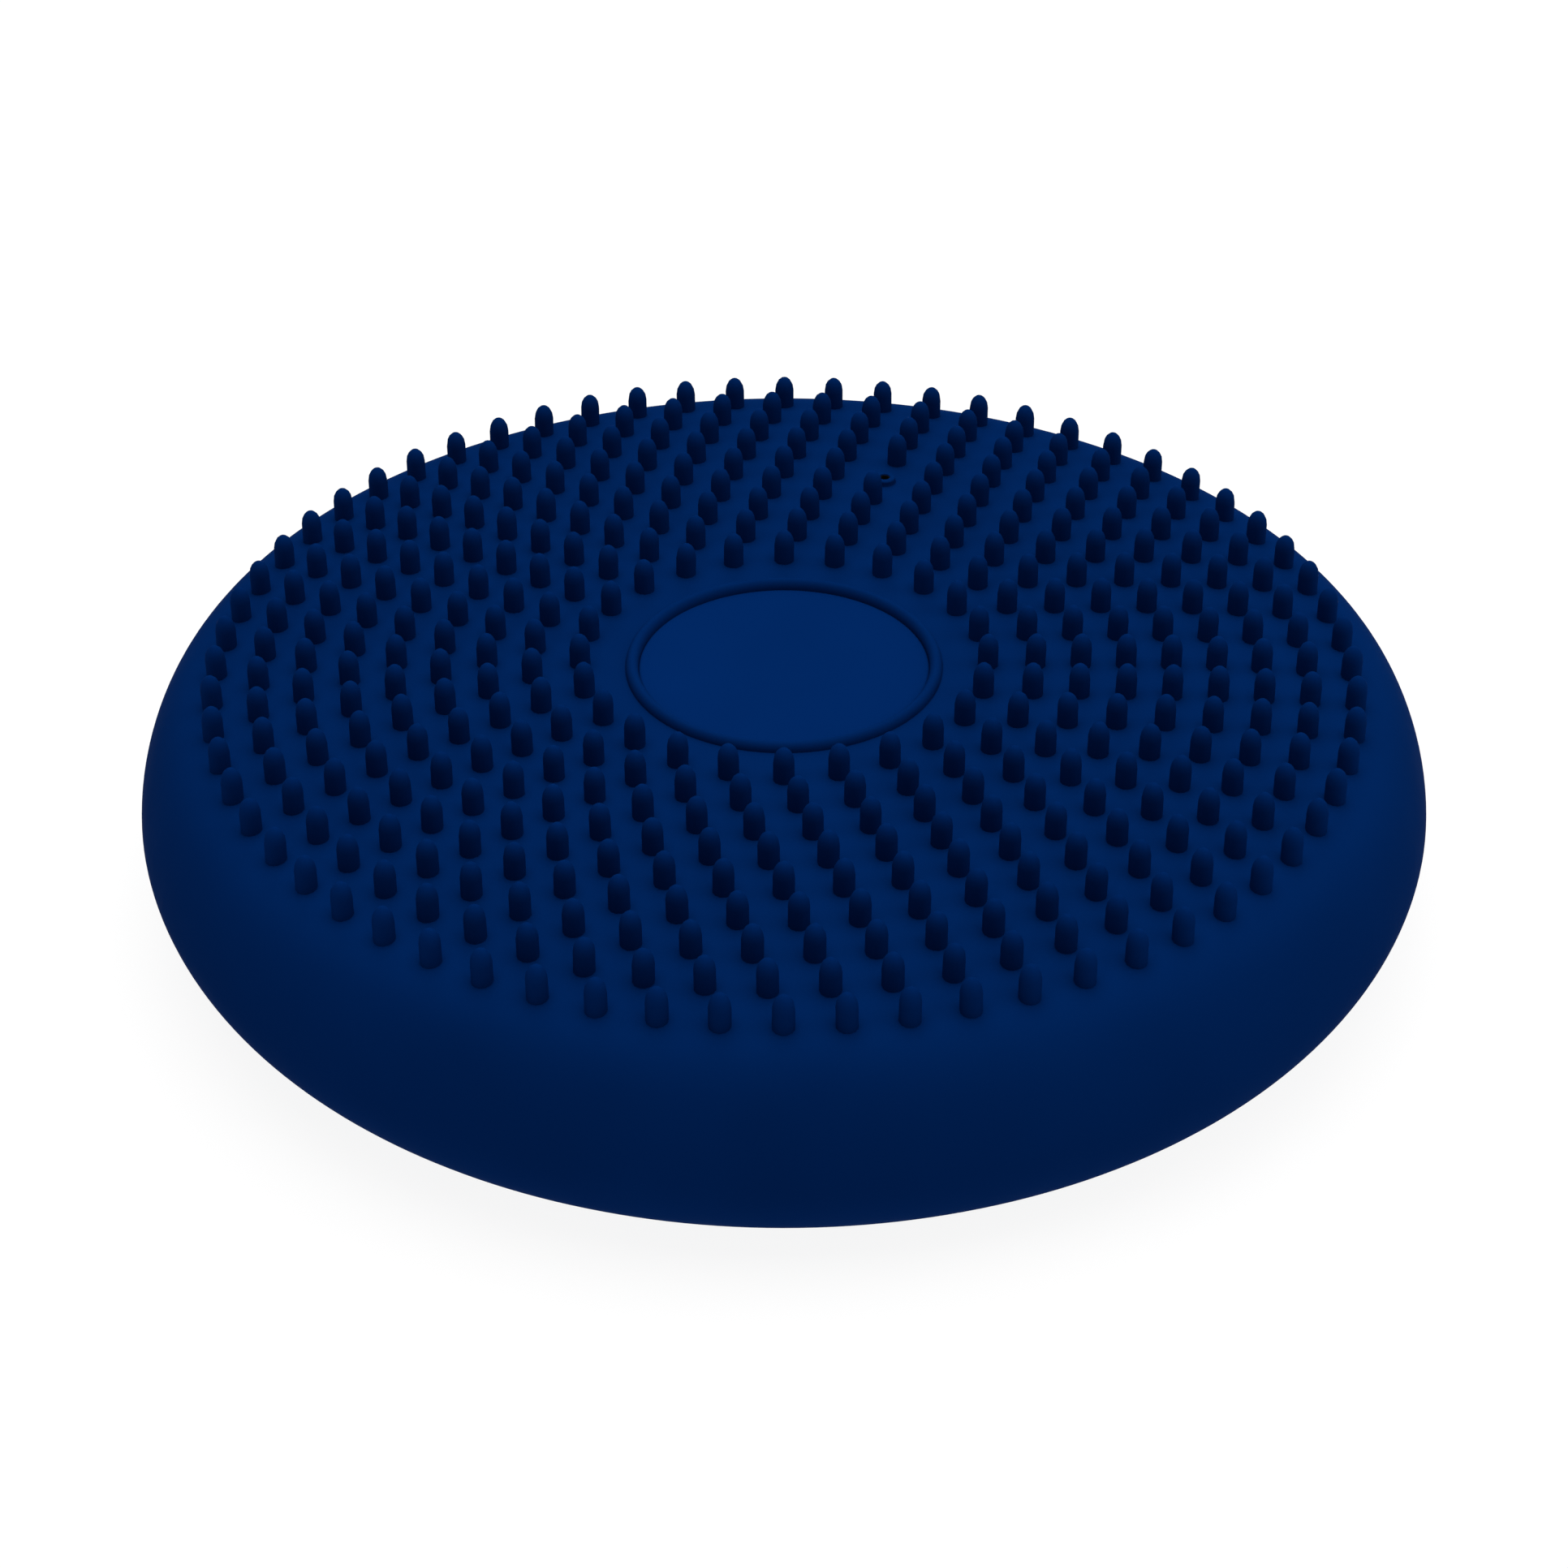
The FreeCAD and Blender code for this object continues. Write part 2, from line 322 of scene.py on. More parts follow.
def valve_rubber(name, base):
    """Pressed natural rubber: near black, dull, with a fine dusty tooth."""
    material, tree, shader = new_material(name)
    place = add_node(tree, "ShaderNodeTexCoord").outputs["Object"]
    tooth = add_node(tree, "ShaderNodeTexNoise", Vector=place, Scale=1 / TOOTH_SIZE, Detail=3.0)
    dust = add_node(
        tree, "ShaderNodeMix", {"data_type": "RGBA"}, _0=tooth.outputs[0],
        _6=[*base, 1], _7=[c * 1.8 for c in base] + [1]
    )
    tree.links.new(dust.outputs[2], shader.inputs["Base Color"])
    bump = add_node(tree, "ShaderNodeBump", Strength=0.4, Distance=0.03 * MM, Height=tooth.outputs[0])
    tree.links.new(bump.outputs[0], shader.inputs["Normal"])
    shader.inputs["Roughness"].default_value = 0.8
    shader.inputs["Specular IOR Level"].default_value = 0.1
    return material


def studio_floor(name, base, glow):
    """White acrylic sheet lit from below: it drowns most of the shadow and lifts the low side wall."""
    material, tree, shader = new_material(name)
    place = add_node(tree, "ShaderNodeTexCoord").outputs["Object"]
    drift = add_node(tree, "ShaderNodeTexNoise", Vector=place, Scale=1.5, Detail=1.0)
    mix = add_node(
        tree, "ShaderNodeMix", {"data_type": "RGBA"}, _0=drift.outputs[0],
        _6=[*base, 1], _7=[c * 0.985 for c in base] + [1]
    )
    tree.links.new(mix.outputs[2], shader.inputs["Base Color"])
    shader.inputs["Roughness"].default_value = 0.9
    shader.inputs["Specular IOR Level"].default_value = 0.1
    shader.inputs["Emission Color"].default_value = (1, 1, 1, 1)
    shader.inputs["Emission Strength"].default_value = glow
    return material


def finish_named(name):
    """The finish of that name, made on first use."""
    if name in bpy.data.materials:
        return bpy.data.materials[name]
    colours = bpy.context.scene.cushion_finish
    makers = {
        "moulded soft vinyl": lambda: moulded_vinyl(
            name, colours.skin, colours.sheen, grain_mm=0.8, grain_depth_mm=0.05, roughness=0.58
        ),
        "smooth soft vinyl": lambda: moulded_vinyl(
            name, colours.disc, colours.sheen, grain_mm=0.7, grain_depth_mm=0.02, roughness=0.50
        ),
        "moulded nub vinyl": lambda: moulded_vinyl(
            name, colours.nub, colours.sheen, grain_mm=0.7, grain_depth_mm=0.03, roughness=0.60
        ),
        "pressed valve rubber": lambda: valve_rubber(name, colours.rubber),
        "lit acrylic floor": lambda: studio_floor(name, colours.floor, colours.floor_glow),
    }
    return makers[name]()


# ---------------------------------------------------------------- meshes


def piece_from(name, mesh, finish):
    """Shades a mesh smooth between its sharp edges, and puts it in the scene as a piece."""
    mesh.shade_smooth()
    mesh.set_sharp_from_angle(angle=SHARP_ANGLE)
    mesh.materials.clear()
    mesh.materials.append(finish_named(finish))
    obj = bpy.data.objects.new(name, mesh)
    bpy.context.scene.collection.objects.link(obj)
    return obj


def revolved(name, outline, segments, closed):
    """Mesh of an outline of (radius, height) turned round the Z axis.

    A closed outline makes a ring. An open one starts and ends on the axis.
    """
    model = bmesh.new()
    rows = []
    for radius, height in outline:
        if not closed and radius == 0:
            rows.append([model.verts.new((0, 0, height))] * segments)
            continue
        turns = [2 * math.pi * n / segments for n in range(segments)]
        rows.append([model.verts.new((radius * math.sin(t), -radius * math.cos(t), height)) for t in turns])
    pairs = list(zip(rows, rows[1:] + rows[:1])) if closed else list(zip(rows, rows[1:]))
    for low, high in pairs:
        for n in range(segments):
            after = (n + 1) % segments
            corners = dict.fromkeys([low[n], low[after], high[after], high[n]])
            model.faces.new(list(corners))
    bmesh.ops.recalc_face_normals(model, faces=model.faces)
    mesh = bpy.data.meshes.new(name)
    model.to_mesh(mesh)
    model.free()
    return mesh


def field_radius(skin):
    """Radius of the outermost ring of nubs."""
    return skin.panel_radius - skin.panel_margin


def crown_height(skin, radius):
    """Height of the top face at a distance from the axis."""
    q = radius / field_radius(skin)
    return skin.edge - skin.crown_dip * (1 - q**2) + skin.crown_rise * (1 - q**4)


def shoulder_size(skin):
    """Height of the shoulder's whole curve above the equator."""
    rise = (1 - skin.shoulder_start**skin.shoulder_roundness) ** (1 / skin.shoulder_roundness)
    return (skin.edge - skin.shoulder_drop - skin.equator) / rise


def hip_point(skin, share):
    """Lower wall, from the underside's flat at 0 to the equator at 1."""
    power = 2 / skin.hip_roundness
    reach = skin.hip_reach * math.sin(share * QUARTER) ** power
    drop = (skin.equator - skin.floor_gap) * max(0.0, math.cos(share * QUARTER)) ** power
    return skin.radius - skin.hip_reach + reach, skin.equator - drop


def shoulder_point(skin, share):
    """Upper wall, from the equator at 0 to the join with the top face at 1."""
    inward = math.cos(share * math.acos(skin.shoulder_start))
    rise = (1 - inward**skin.shoulder_roundness) ** (1 / skin.shoulder_roundness)
    return skin.radius - skin.shoulder_reach * (1 - inward), skin.equator + shoulder_size(skin) * rise


def brow_point(skin, share):
    """The stretch between the shoulder's join at 0 and the outermost nubs at 1, one smooth cubic."""
    start, roundness = skin.shoulder_start, skin.shoulder_roundness
    low_radius, low_height = shoulder_point(skin, 1)
    field = low_radius - skin.shoulder_run
    steepness = start ** (roundness - 1) * (1 - start**roundness) ** (1 / roundness - 1)
    low_slope = shoulder_size(skin) / skin.shoulder_reach * steepness * skin.shoulder_run
    high_slope = (4 * skin.crown_rise - 2 * skin.crown_dip) / field * skin.shoulder_run
    t = share
    height = (
        (2 * t**3 - 3 * t**2 + 1) * low_height
        + (t**3 - 2 * t**2 + t) * low_slope
        + (3 * t**2 - 2 * t**3) * skin.edge
        + (t**3 - t**2) * high_slope
    )
    return low_radius - skin.shoulder_run * t, height


def crown_point(skin, share):
    """The top face, from the outermost nubs at 0 to the axis at 1."""
    radius = field_radius(skin) * (1 - share)
    return radius, crown_height(skin, radius)


def skin_point(skin, place):
    """The skin's outer line: 0 to 1 is the lower wall, then upper wall, brow and top face up to 4."""
    stretch = min(int(place), PLACES - 1)
    makers = (hip_point, shoulder_point, brow_point, crown_point)
    return makers[stretch](skin, place - stretch)


def place_where(skin, axis, target, low, high):
    """Where between two places the outer line's radius (axis 0) or height (axis 1) is the target."""
    rising = skin_point(skin, high)[axis] > skin_point(skin, low)[axis]
    for _ in range(50):
        centre = (low + high) / 2
        if (skin_point(skin, centre)[axis] < target) == rising:
            low = centre
        else:
            high = centre
    return (low + high) / 2


def inset_point(skin, place, depth):
    """A point straight in from the outer line."""
    step = 1e-4
    ahead = Vector(skin_point(skin, min(place + step, PLACES)))
    behind = Vector(skin_point(skin, max(place - step, 0)))
    along = (ahead - behind).normalized()
    return tuple(Vector(skin_point(skin, place)) + Vector((-along.y, along.x)) * depth)


def shell_outline(skin, start, end, rows):
    """Closed outline of a stretch of skin. Rows crowd towards both ends, where it meets its neighbours."""
    shares = [(1 - math.cos(math.pi * n / rows)) / 2 for n in range(rows + 1)]
    places = [start + (end - start) * share for share in shares]
    outer = [skin_point(skin, place) for place in places]
    inner = [inset_point(skin, place, skin.thickness) for place in places]
    return outer + inner[::-1]


def plain_copy(obj, name):
    """The evaluated object as a plain mesh. The object that made it is removed."""
    graph = bpy.context.evaluated_depsgraph_get()
    mesh = bpy.data.meshes.new_from_object(
        obj.evaluated_get(graph), preserve_all_data_layers=True, depsgraph=graph
    )
    mesh.name = name
    bpy.data.objects.remove(obj)
    return mesh


# ---------------------------------------------------------------- rings of studs


def stud_ring_tree():
    """Geometry Nodes tree that stands copies of one stud in a ring."""
    if "Ring of studs" in bpy.data.node_groups:
        return bpy.data.node_groups["Ring of studs"]
    tree = bpy.data.node_groups.new("Ring of studs", "GeometryNodeTree")
    face = tree.interface
    for name, kind in (
        ("Stud", "NodeSocketObject"),
        ("Ring radius", "NodeSocketFloat"),
        ("Count", "NodeSocketInt"),
        ("Quarter steps", "NodeSocketInt"),
        ("Foot height", "NodeSocketFloat"),
        ("Open place", "NodeSocketInt"),
        ("Lean", "NodeSocketFloat"),
        ("Seed", "NodeSocketInt"),
        ("Finish", "NodeSocketMaterial"),
    ):
        face.new_socket(name, in_out="INPUT", socket_type=kind)
    face.new_socket("Geometry", in_out="OUTPUT", socket_type="NodeSocketGeometry")
    given = add_node(tree, "NodeGroupInput").outputs
    index = add_node(tree, "GeometryNodeInputIndex").outputs[0]

    def maths(operation, *values):
        """The output of a maths node with these values or sockets as its inputs."""
        links = {f"_{n}": value for n, value in enumerate(values)}
        return add_node(tree, "ShaderNodeMath", {"operation": operation}, **links).outputs[0]

    step = maths("ADD", index, maths("DIVIDE", given["Quarter steps"], 4.0))
    angle = maths("MULTIPLY", maths("DIVIDE", step, given["Count"]), 2 * math.pi)
    across = maths("MULTIPLY", maths("SINE", angle), given["Ring radius"])
    reach = maths("MULTIPLY", maths("COSINE", angle), given["Ring radius"])
    foot = add_node(
        tree, "ShaderNodeCombineXYZ", _0=across, _1=maths("MULTIPLY", reach, -1.0), _2=given["Foot height"]
    )
    points = add_node(tree, "GeometryNodePoints", Count=given["Count"], Position=foot.outputs[0])
    is_open = add_node(
        tree, "FunctionNodeCompare", {"data_type": "INT", "operation": "EQUAL"},
        _2=index, _3=given["Open place"]
    )
    kept = add_node(
        tree, "GeometryNodeDeleteGeometry", {"domain": "POINT"}, Geometry=points.outputs[0],
        Selection=is_open.outputs[0]
    )
    slack = maths("MULTIPLY", given["Lean"], -1.0)
    least = add_node(tree, "ShaderNodeCombineXYZ", _0=slack, _1=slack, _2=0.0)
    most = add_node(tree, "ShaderNodeCombineXYZ", _0=given["Lean"], _1=given["Lean"], _2=2 * math.pi)
    turn = add_node(
        tree, "FunctionNodeRandomValue", {"data_type": "FLOAT_VECTOR"},
        _0=least.outputs[0], _1=most.outputs[0], ID=index, Seed=given["Seed"]
    )
    stud = add_node(tree, "GeometryNodeObjectInfo", Object=given["Stud"])
    stood = add_node(
        tree, "GeometryNodeInstanceOnPoints", Points=kept.outputs[0], Instance=stud.outputs["Geometry"],
        Rotation=turn.outputs[0]
    )
    real = add_node(tree, "GeometryNodeRealizeInstances", Geometry=stood.outputs[0])
    coated = add_node(tree, "GeometryNodeSetMaterial", Geometry=real.outputs[0], Material=given["Finish"])
    add_node(tree, "NodeGroupOutput", Geometry=coated.outputs[0])
    return tree


def ring_of_studs(name, stud, finish, inputs):
    """One ring of studs as a plain piece."""
    maker = bpy.data.objects.new(name + "_maker", bpy.data.meshes.new(name + "_maker"))
    bpy.context.scene.collection.objects.link(maker)
    modifier = maker.modifiers.new("Ring of studs", "NODES")
    modifier.node_group = stud_ring_tree()
    given = {"Stud": stud, "Finish": finish_named(finish), **inputs}
    for item in modifier.node_group.interface.items_tree:
        if item.in_out == "INPUT":
            modifier[item.identifier] = given[item.name]
    mesh = plain_copy(maker, name)
    return piece_from(name, mesh, finish)


def stud_template(name, outline, segments):
    """A single stud for the tree to copy."""
    stud = bpy.data.objects.new(name, revolved(name, outline, segments, closed=False))
    bpy.context.scene.collection.objects.link(stud)
    stud.data.shade_smooth()
    return stud


def nub_outline(nub):
    """A straight post that starts inside the skin, with a drawn-out rounded tip."""
    post_top = nub.height - nub.tip
    post = nub.radius * STUD_ROUNDING
    outline = [
        (0, -nub.root),
        (post, -nub.root),
        (post, post_top),
    ]
    for turn in TIP_TURNS:
        tilt = math.radians(turn)
        outline.append((post * math.cos(tilt), post_top + nub.tip * math.sin(tilt)))
    return outline + [(0, nub.height)]


def pip_outline(pip):
    """A low stud with a softened rim, hanging below its origin. Its root runs into the skin."""
    root = 0.3 * MM
    rim = 0.3 * MM
    return [
        (0, root),
        (pip.radius, root),
        (pip.radius, rim - pip.drop),
        (pip.radius - rim * 0.3, rim * 0.3 - pip.drop),
        (pip.radius - rim, -pip.drop),
        (0, -pip.drop),
    ]


# ---------------------------------------------------------------- pieces


def underside_outline(skin, centre):
    """Open outline of the underside: the pad it rests on, the flat round it, and the inside of the skin."""
    step = skin.floor_gap
    edge = centre.bead_radius
    hip = skin.radius - skin.hip_reach
    inside = skin.floor_gap + skin.thickness
    flat_rows = 24
    outline = [(0, 0)]
    outline += [(edge * share, 0) for share in (0.2, 0.4, 0.6, 0.8, 0.95)]
    for turn in (0, 22, 45, 67, 90):
        tilt = math.radians(turn)
        outline.append((edge - step * (1 - math.sin(tilt)), step * (1 - math.cos(tilt))))
    outline += [(edge + (hip - edge) * n / flat_rows, step) for n in range(1, flat_rows + 1)]
    outline += [(hip * (1 - n / flat_rows), inside) for n in range(flat_rows)]
    return outline + [(0, inside)]


def disc_outline(skin, centre):
    """Open outline of the smooth disc, crowned like the skin round it. Its edge rolls into the groove."""
    rows = 16
    edge = centre.disc_radius
    flat = edge - centre.groove
    radii = [flat * n / rows for n in range(rows + 1)]
    top = [(radius, crown_height(skin, radius)) for radius in radii]
    roll = []
    for turn in (25, 50, 72, 90):
        tilt = math.radians(turn)
        radius = flat + centre.groove * math.sin(tilt)
        roll.append((radius, crown_height(skin, radius) - centre.groove * (1 - math.cos(tilt))))
    below = [(radius, height - skin.thickness) for radius, height in top[::-1]]
    return top + roll + [(edge, below[0][1]), *below]


def bead_outline(skin, centre):
    """Closed outline of the bead: half round, with walls that go straight down to its feet."""
    inner, outer = centre.disc_radius, centre.bead_radius
    steps = 16
    line = []
    for n in range(steps + 1):
        turn = math.pi * n / steps
        radius = (inner + outer) / 2 - (outer - inner) / 2 * math.cos(turn)
        line.append((radius, crown_height(skin, radius) + centre.bead_height * math.sin(turn)))
    return line + [(radius, crown_height(skin, radius) - skin.thickness) for radius in (outer, inner)]


def collar_outline(valve, surface, thickness):
    """Closed outline of the valve's housing, from the rim of the needle hole round to its pocket."""
    lip = 0.5 * MM
    foot = 0.6 * MM
    bore = valve.hole + valve.sleeve
    outline = [(bore, valve.core_top), (bore, valve.rim - lip * 0.4)]
    outline += [(bore + lip * 0.12, valve.rim - lip * 0.12), (bore + lip * 0.4, valve.rim)]
    for turn in (0, 30, 60, 90):
        tilt = math.radians(turn)
        outline.append(
            (valve.collar - lip * (1 - math.sin(tilt)), valve.rim - lip * (1 - math.cos(tilt)))
        )
    outline += [(valve.collar, surface + foot), (valve.collar + foot * 0.3, surface + foot * 0.3)]
    outline += [(valve.collar + foot, surface), (valve.collar + foot, surface - foot)]
    shelf = surface - thickness
    outline += [(valve.collar, surface - foot), (valve.collar, shelf), (valve.cup, shelf)]
    outline += [(valve.cup, valve.cup_bottom), (valve.core, valve.cup_bottom), (valve.core, valve.core_top)]
    return outline


def core_outline(valve):
    """Open outline of the rubber core, with a blind duct and a sleeve that lines the needle hole."""
    floor_of_duct = valve.core_top - valve.duct_depth
    mouth = valve.rim - 2 * valve.sleeve
    return [
        (0, floor_of_duct),
        (valve.duct, floor_of_duct),
        (valve.duct, valve.core_top - valve.sleeve),
        (valve.duct * 1.5, valve.core_top),
        (valve.hole, valve.core_top),
        (valve.hole, mouth),
        (valve.hole + valve.sleeve, mouth),
        (valve.hole + valve.sleeve, valve.core_top),
        (valve.core, valve.core_top),
        (valve.core, valve.cup_bottom),
        (0, valve.cup_bottom),
    ]


def cut_hole(obj, name, centre, radius, finish):
    """A copy of a piece with a round upright hole through it."""
    model = bmesh.new()
    bmesh.ops.create_cone(
        model, cap_ends=True, segments=FINE_SEGMENTS, radius1=radius, radius2=radius, depth=HOLE_CUTTER
    )
    bmesh.ops.translate(model, verts=model.verts, vec=centre)
    cutter_mesh = bpy.data.meshes.new("Cutter")
    model.to_mesh(cutter_mesh)
    model.free()
    cutter = bpy.data.objects.new("Cutter", cutter_mesh)
    bpy.context.scene.collection.objects.link(cutter)
    modifier = obj.modifiers.new("Hole", "BOOLEAN")
    modifier.object = cutter
    modifier.operation = "DIFFERENCE"
    modifier.solver = "EXACT"
    mesh = plain_copy(obj, name)
    bpy.data.objects.remove(cutter)
    return piece_from(name, mesh, finish)


def moved(mesh, centre):
    """The mesh, moved so that its axis stands on a point of the floor."""
    mesh.transform(Matrix.Translation((centre.x, centre.y, 0)))
    return mesh


class CUSHION_OT_side_wall(bpy.types.Operator):
    """Build the side wall as three bands"""

    bl_idname = "cushion.side_wall"
    bl_label = "Side wall"

    def execute(self, context):
        skin = context.scene.cushion_skin
        low = place_where(skin, 1, skin.lower_top, 0, 1)
        high = place_where(skin, 1, skin.middle_top, 1, 2)
        edge = place_where(skin, 0, skin.panel_radius, 2, 3)
        bands = (
            ("lower_wall", "side_wall_lower", 0, low, 22, "base", "waist"),
            ("middle_wall", "side_wall_middle", low, high, 26, "waist", "shoulder"),
            ("upper_wall", "side_wall_upper", high, edge, 34, "shoulder", "top"),
        )
        for name, node, start, end, rows, below, above in bands:
            mesh = revolved(name, shell_outline(skin, start, end, rows), SEGMENTS, closed=True)
            band = piece_from(name, mesh, "moulded soft vinyl")
            foot = skin_point(skin, start)[1]
            head = skin_point(skin, end)[1]
            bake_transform(band)
            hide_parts(node)
        return {"FINISHED"}


class CUSHION_OT_top_face(bpy.types.Operator):
    """Build the crowned top face, with the hole that the valve is set in"""

    bl_idname = "cushion.top_face"
    bl_label = "Top face"

    def execute(self, context):
        skin = context.scene.cushion_skin
        valve = context.scene.cushion_valve
        centre = context.scene.cushion_centre
        start = place_where(skin, 0, skin.panel_radius, 2, 3)
        end = place_where(skin, 0, centre.bead_radius, 3, 4)
        mesh = revolved("top_blank", shell_outline(skin, start, end, rows=72), SEGMENTS, closed=True)
        blank = piece_from("top_blank", mesh, "moulded soft vinyl")
        hole_centre = middle("valve_core")
        face = cut_hole(blank, "top_face", hole_centre, valve.collar, "moulded soft vinyl")
        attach(face, "top")
        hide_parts("top_panel")
        return {"FINISHED"}


class CUSHION_OT_centre(bpy.types.Operator):
    """Build the smooth disc in the middle and the bead round it"""

    bl_idname = "cushion.centre"
    bl_label = "Centre"

    def execute(self, context):
        skin = context.scene.cushion_skin
        centre = context.scene.cushion_centre
        disc_mesh = revolved("smooth_disc", disc_outline(skin, centre), SEGMENTS, closed=False)
        disc = piece_from("smooth_disc", disc_mesh, "smooth soft vinyl")
        bead_mesh = revolved("bead", bead_outline(skin, centre), SEGMENTS, closed=True)
        bead = piece_from("bead", bead_mesh, "moulded soft vinyl")
        for piece, node in ((disc, "centre_disc"), (bead, "centre_bead")):
            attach(piece, "top")
            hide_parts(node)
        return {"FINISHED"}


class CUSHION_OT_nubs(bpy.types.Operator):
    """Stand the rings of massage nubs on the top face"""

    bl_idname = "cushion.nubs"
    bl_label = "Nubs"

    def execute(self, context):
        skin = context.scene.cushion_skin
        nub = context.scene.cushion_nub
        stud = stud_template("nub_pattern", nub_outline(nub), STUD_SIDES)
        second = nub.first_ring + nub.first_gap
        pitch = (field_radius(skin) - second) / (nub.rings - 2)
        for n in range(nub.rings):
            radius = second + pitch * (n - 1) if n else nub.first_ring
            inputs = {
                "Ring radius": radius,
                "Count": nub.first_count + nub.added * n,
                "Quarter steps": n,
                "Foot height": crown_height(skin, radius),
                "Open place": nub.valve_place if n + 1 == nub.valve_ring else -1,
                "Lean": nub.lean,
                "Seed": NUB_SEED + n,
            }
            ring = ring_of_studs(f"nubs_{n + 1}", stud, "moulded nub vinyl", inputs)
            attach(ring, "top")
            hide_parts(f"nub_ring_{n + 1}")
        bpy.data.objects.remove(stud)
        return {"FINISHED"}


class CUSHION_OT_valve(bpy.types.Operator):
    """Build the valve's raised collar and its rubber core"""

    bl_idname = "cushion.valve"
    bl_label = "Valve"

    def execute(self, context):
        skin = context.scene.cushion_skin
        valve = context.scene.cushion_valve
        place = middle("valve_core")
        surface = crown_height(skin, place.xy.length)
        collar_line = collar_outline(valve, surface, skin.thickness)
        collar_mesh = moved(revolved("valve_collar", collar_line, FINE_SEGMENTS, closed=True), place)
        collar = piece_from("valve_collar", collar_mesh, "moulded soft vinyl")
        core_mesh = moved(revolved("rubber_core", core_outline(valve), FINE_SEGMENTS, closed=False), place)
        core = piece_from("rubber_core", core_mesh, "pressed valve rubber")
        for piece, node, slot in (
            (collar, "valve_housing", "valve_vinyl"), (core, "valve_core", "valve_rubber")
        ):
            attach(piece, "top")
            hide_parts(node)
        return {"FINISHED"}


class CUSHION_OT_underside(bpy.types.Operator):
    """Build the underside, its resting pad and its rings of low pips"""

    bl_idname = "cushion.underside"
    bl_label = "Underside"

    def execute(self, context):
        skin = context.scene.cushion_skin
        centre = context.scene.cushion_centre
        pip = context.scene.cushion_pip
        mesh = revolved("underside", underside_outline(skin, centre), SEGMENTS, closed=False)
        base = piece_from("underside", mesh, "moulded soft vinyl")
        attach(base, "base")
        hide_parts("underside_panel", "rest_pad")
        stud = stud_template("pip_pattern", pip_outline(pip), STUD_SIDES)
        for n in range(pip.rings):
            inputs = {
                "Ring radius": pip.first_ring + pip.pitch * n,
                "Count": pip.first_count + pip.added * n,
                "Quarter steps": n,
                "Foot height": skin.floor_gap,
                "Open place": -1,
                "Lean": 0.0,
                "Seed": PIP_SEED + n,
            }
            ring = ring_of_studs(f"pips_{n + 1}", stud, "moulded soft vinyl", inputs)
            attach(ring, "base")
            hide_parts(f"underside_pip_ring_{n + 1}")
        bpy.data.objects.remove(stud)
        return {"FINISHED"}


def aimed(obj, place, target):
    """Puts a camera or light at a place, pointing at a target."""
    obj.location = place
    obj.rotation_euler = (Vector(target) - Vector(place)).to_track_quat("-Z", "Y").to_euler()
    bpy.context.scene.collection.objects.link(obj)
    return obj


def soft_light(name, place, target, size, power):
    """A square studio softbox."""
    light = bpy.data.lights.new(name, "AREA")
    light.shape = "SQUARE"
    light.size = size
    light.energy = power
    return aimed(bpy.data.objects.new(name, light), place, target)


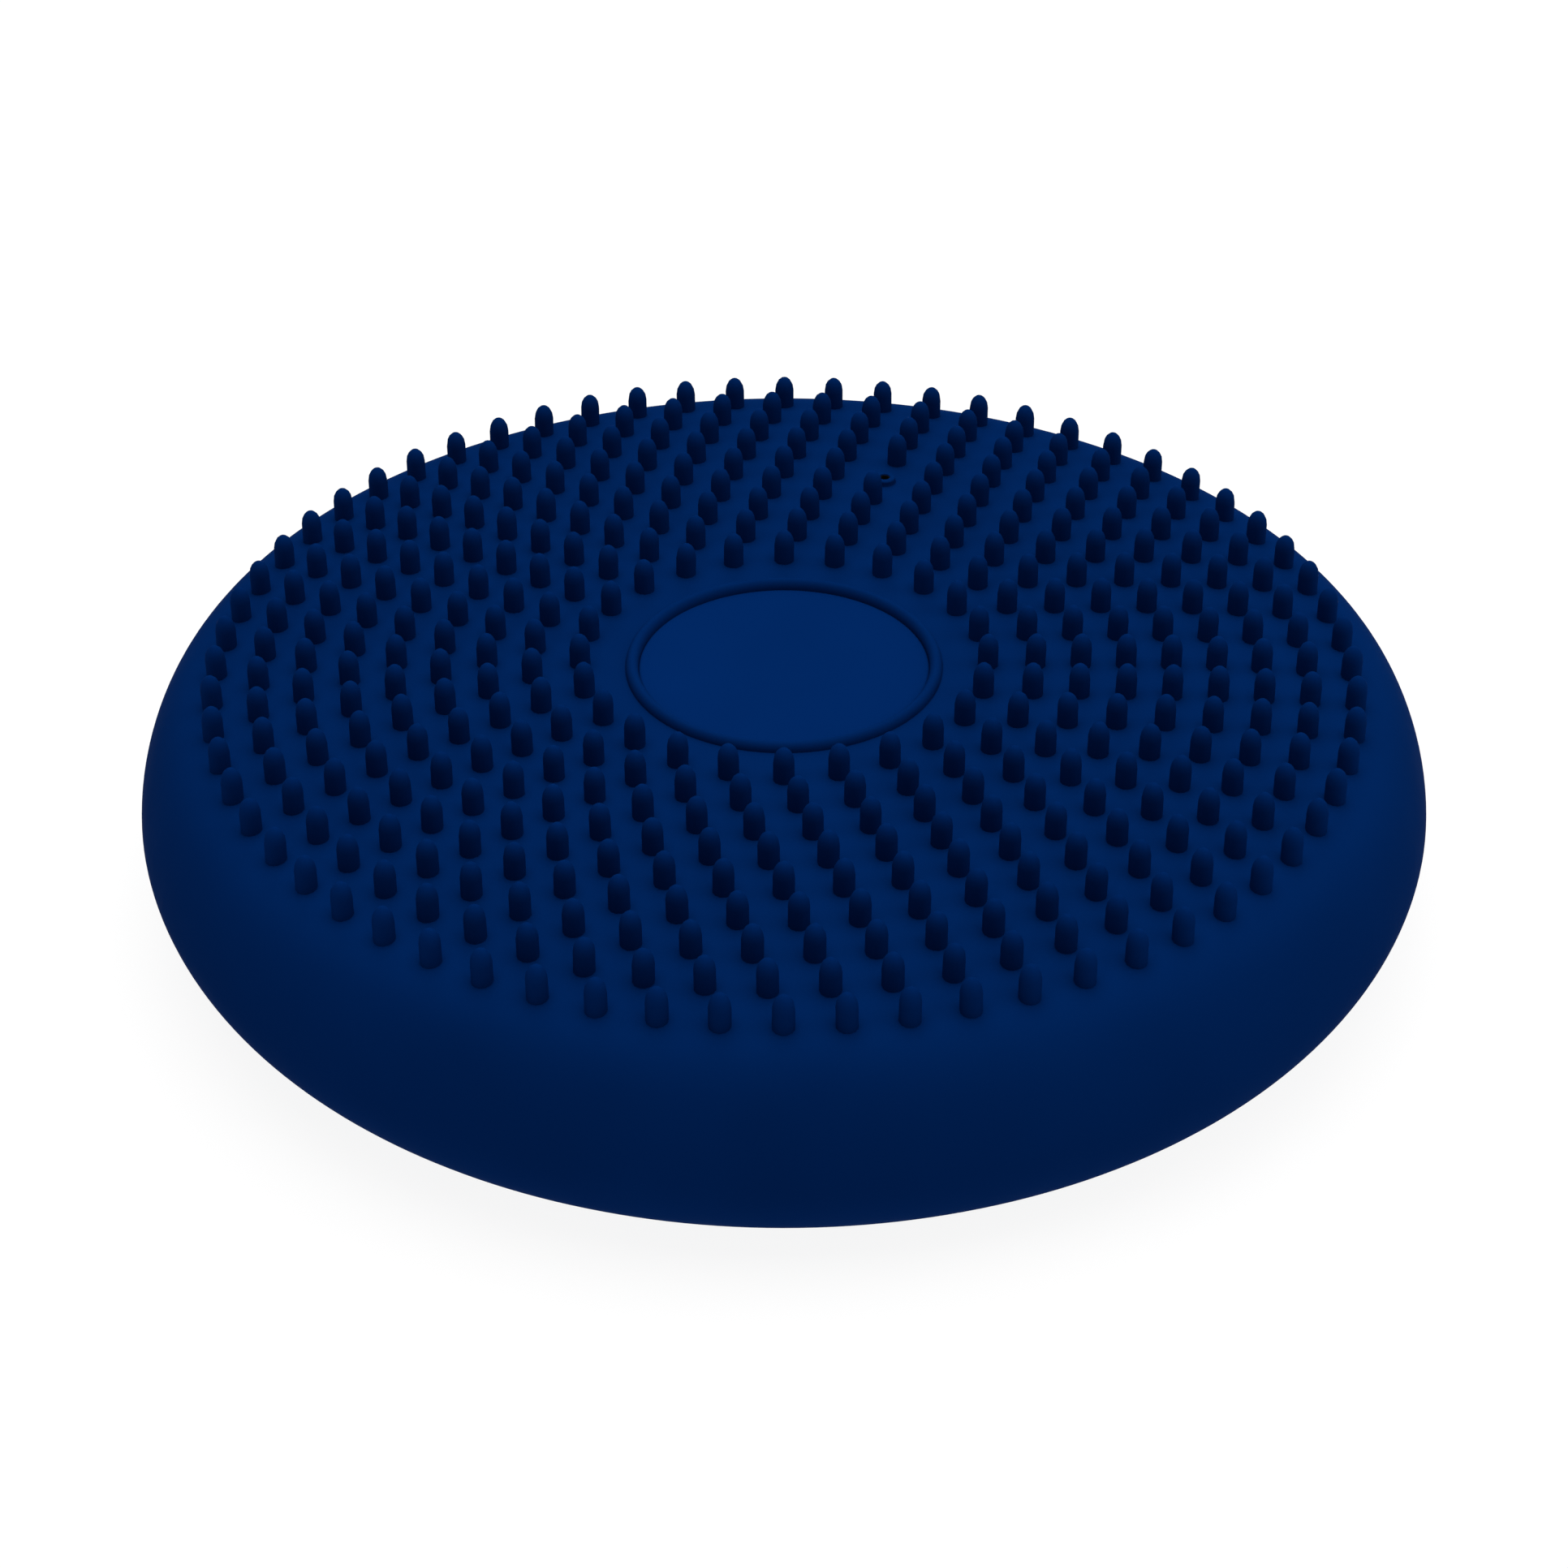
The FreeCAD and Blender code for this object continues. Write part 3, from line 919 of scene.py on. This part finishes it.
class CUSHION_OT_stage(bpy.types.Operator):
    """Set up the pale floor, the soft light and the camera"""

    bl_idname = "cushion.stage"
    bl_label = "Stage"

    def execute(self, context):
        scene = context.scene
        studio = scene.cushion_studio
        model = bmesh.new()
        bmesh.ops.create_grid(model, x_segments=1, y_segments=1, size=studio.floor_size / 2)
        mesh = bpy.data.meshes.new("studio_floor")
        model.to_mesh(mesh)
        model.free()
        mesh.transform(Matrix.Translation((0, 0, cad_box[0][2])))
        piece_from("studio_floor", mesh, "lit acrylic floor")
        world = bpy.data.worlds.new("Even studio light")
        world.use_nodes = True
        backdrop = world.node_tree.nodes["Background"]
        backdrop.inputs["Color"].default_value = (1, 1, 1, 1)
        backdrop.inputs["Strength"].default_value = studio.ambient
        scene.world = world
        for name, place, size, power in (
            ("Overhead softbox", (0, 0.1, studio.reach), studio.key_size, studio.key_power),
            ("Right softbox", (studio.reach, 0, studio.fill_height), studio.fill_size, studio.side_power),
        ):
            soft_light(name, place, (0, 0, 0), size, power)
        rear_place = (0, studio.reach, studio.fill_height)
        rear = soft_light("Rear softbox", rear_place, (0, 0, 0), studio.fill_size, studio.back_power)
        rear.visible_glossy = False    # flagged off the lens, so that its glare stays out of the top face
        camera = bpy.data.cameras.new("Camera")
        camera.lens = studio.lens
        camera.sensor_width = 36
        scene.camera = aimed(
            bpy.data.objects.new("Camera", camera),
            (studio.side, -studio.distance, studio.height),
            (0, 0, studio.aim),
        )
        scene.view_settings.view_transform = "Standard"
        return {"FINISHED"}


PIECES = (
    CUSHION_OT_stage,
    CUSHION_OT_underside,
    CUSHION_OT_side_wall,
    CUSHION_OT_top_face,
    CUSHION_OT_centre,
    CUSHION_OT_nubs,
    CUSHION_OT_valve,
)


class CUSHION_PT_panel(bpy.types.Panel):
    """Lists the cushion's pieces"""

    bl_label = "Wobble cushion"
    bl_idname = "CUSHION_PT_panel"
    bl_space_type = "VIEW_3D"
    bl_region_type = "UI"
    bl_category = "Cushion"

    def draw(self, context):
        for operator in PIECES:
            self.layout.operator(operator.bl_idname)


GROUPS = {
    "cushion_skin": SkinShape,
    "cushion_centre": CentreShape,
    "cushion_nub": NubShape,
    "cushion_pip": PipShape,
    "cushion_valve": ValveShape,
    "cushion_finish": Finish,
    "cushion_studio": Studio,
}


def register():
    for group in GROUPS.values():
        bpy.utils.register_class(group)
    for operator in PIECES:
        bpy.utils.register_class(operator)
    bpy.utils.register_class(CUSHION_PT_panel)
    for name, group in GROUPS.items():
        setattr(bpy.types.Scene, name, PointerProperty(type=group))


def unregister():
    for name in GROUPS:
        delattr(bpy.types.Scene, name)
    bpy.utils.unregister_class(CUSHION_PT_panel)
    for cls in reversed((*GROUPS.values(), *PIECES)):
        bpy.utils.unregister_class(cls)


def main():
    """Registers the add-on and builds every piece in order."""
    register()
    bpy.ops.cushion.stage()
    bpy.ops.cushion.underside()
    bpy.ops.cushion.side_wall()
    bpy.ops.cushion.top_face()
    bpy.ops.cushion.centre()
    bpy.ops.cushion.nubs()
    bpy.ops.cushion.valve()


if __name__ == "__main__":
    main()
